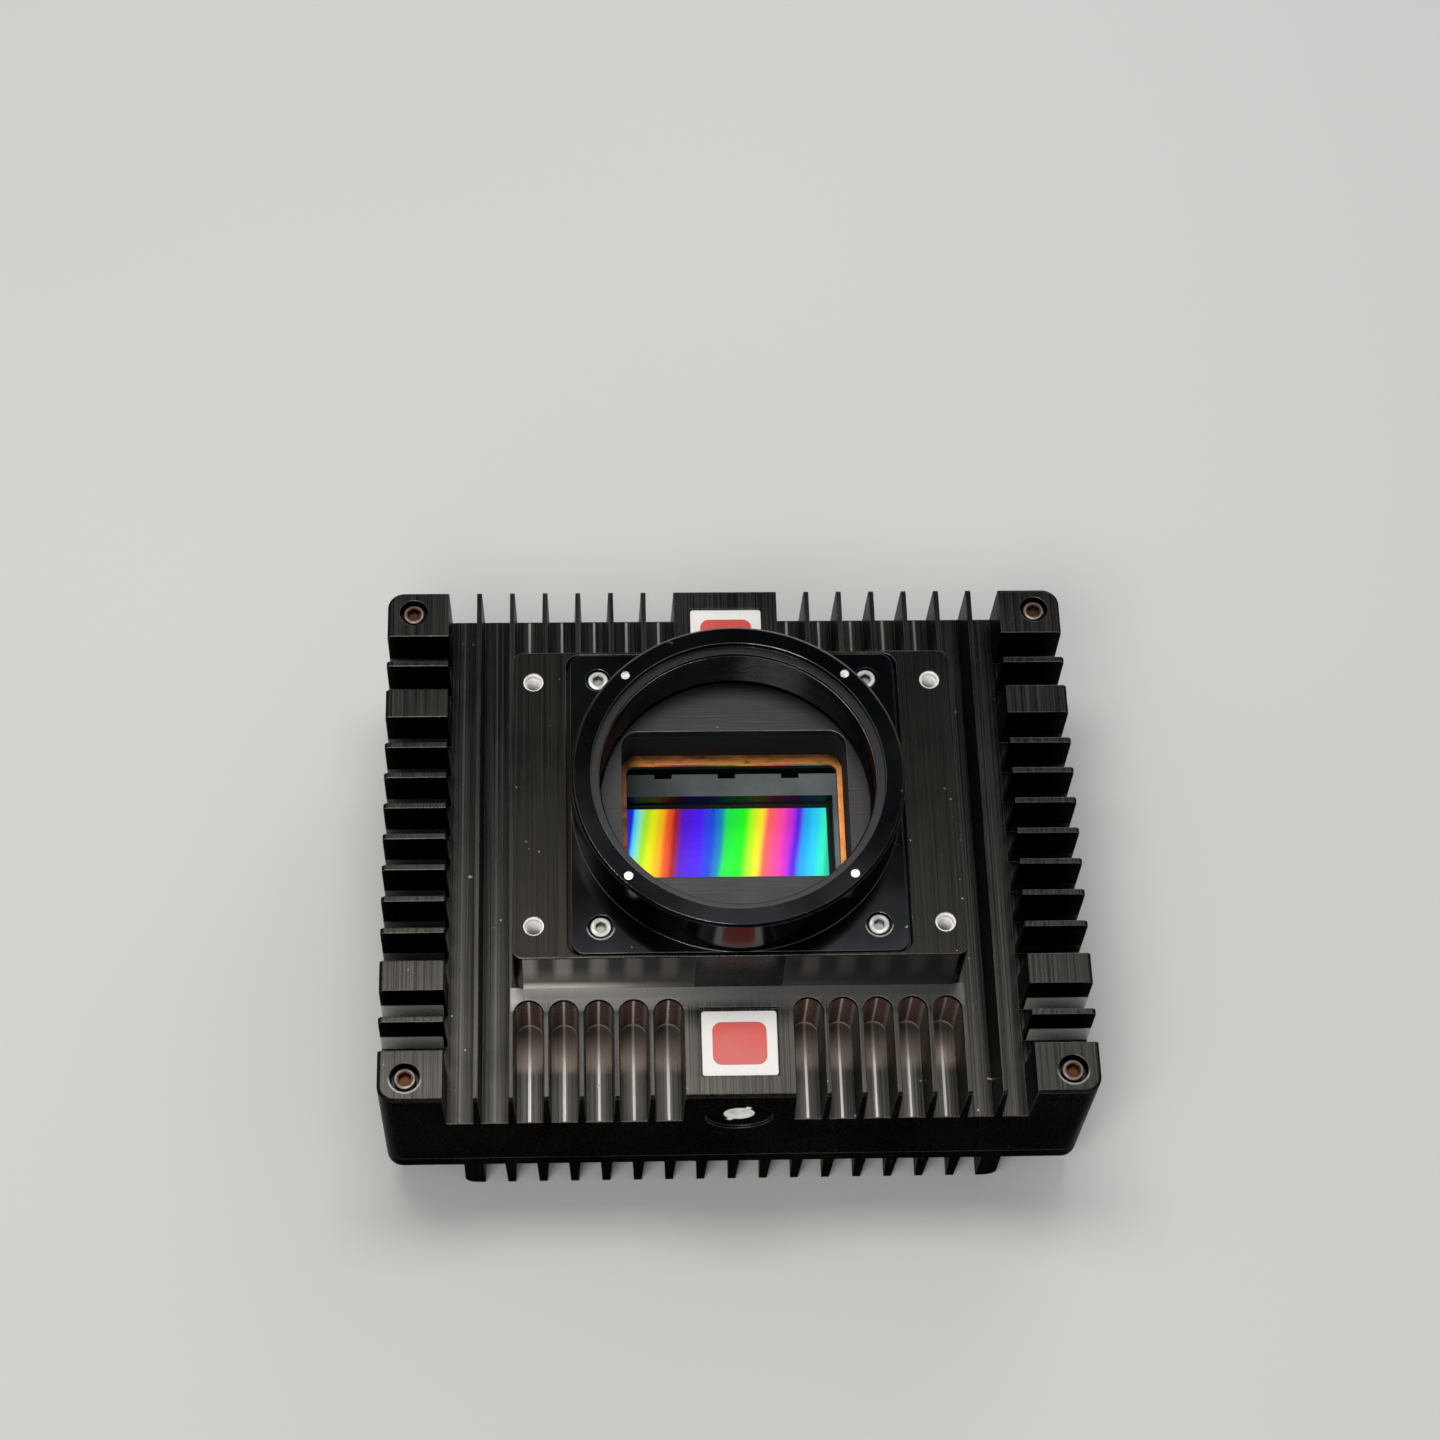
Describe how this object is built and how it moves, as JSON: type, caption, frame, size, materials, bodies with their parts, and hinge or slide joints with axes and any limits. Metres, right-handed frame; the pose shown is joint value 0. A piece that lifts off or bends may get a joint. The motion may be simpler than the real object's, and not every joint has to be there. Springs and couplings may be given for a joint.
{
  "type": "machine vision camera",
  "caption": "Large-format machine vision camera with a finned housing, a threaded ring lens mount, an open sensor well and rear connectors.",
  "frame": {"origin": "middle of the footprint, on the surface that the rear fin tips stand on", "axes": "+Z along the lens axis towards the lens, +X to the right along the longer side, -Y towards the side with the tripod thread"},
  "size_m": [0.185, 0.148, 0.0989],
  "materials": {
    "housing_anodised": "milled aluminium, satin black anodised",
    "cover_anodised": "satin black anodised aluminium",
    "mount_anodised": "turned aluminium, glossier black anodised",
    "seal_rubber": "black silicone rubber",
    "screw_steel": "stainless steel, bright",
    "insert_steel": "stainless thread insert, bright",
    "label_front_white": null,
    "label_back_white": null,
    "baffle_grey": "satin grey-black anodised plate",
    "copper": "copper-coloured conductive strip",
    "carrier_grey": "satin grey machined aluminium",
    "package_ceramic": "dark ceramic package, glossy",
    "silicon": "image sensor surface with interference colours",
    "cover_glass": "clear anti-reflection coated glass",
    "board_green": "glass-epoxy circuit board, green",
    "pad_grey": "soft thermal pad",
    "spreader_aluminium": "plain milled aluminium",
    "standoff_brass": "plated brass",
    "chip_black": "moulded black plastic",
    "connector_black": "moulded black plastic",
    "connector_nickel": "nickel-plated brass",
    "insulator_white": "white fluoropolymer",
    "contact_gold": "gold-plated contact",
    "light_lens": "milky light pipe, unlit"
  },
  "bodies": {
    "root": {"front_housing": "housing_anodised", "lens_platform": "housing_anodised", "rear_cover": "cover_anodised", "housing_gasket": "seal_rubber", "corner_screws": "screw_steel", "lens_mount": "mount_anodised", "mount_screws": "screw_steel", "rim_screws": "screw_steel", "mount_inserts": "insert_steel", "tripod_insert": "insert_steel", "front_label": "label_front_white", "back_label": "label_back_white", "sensor_baffle": "baffle_grey", "copper_frame": "copper", "sensor_carrier": "carrier_grey", "sensor_package": "package_ceramic", "sensor_die": "silicon", "cover_glass": "cover_glass", "sensor_board": "board_green", "spreader_pads": "pad_grey", "sensor_pad": "pad_grey", "heat_spreader": "spreader_aluminium", "standoffs": "standoff_brass", "stack_screws": "screw_steel", "board_connectors": "connector_black", "processor_board": "board_green", "processor_chips": "chip_black", "chip_pads": "pad_grey", "memory_chips": "chip_black", "power_inductors": "chip_black", "board_screws": "screw_steel", "coax_shells": "connector_nickel", "coax_insulators": "insulator_white", "coax_contacts": "contact_gold", "power_connector": "connector_nickel", "power_insulator": "connector_black", "power_contacts": "contact_gold", "status_light": "light_lens"}
  },
  "joints": []
}
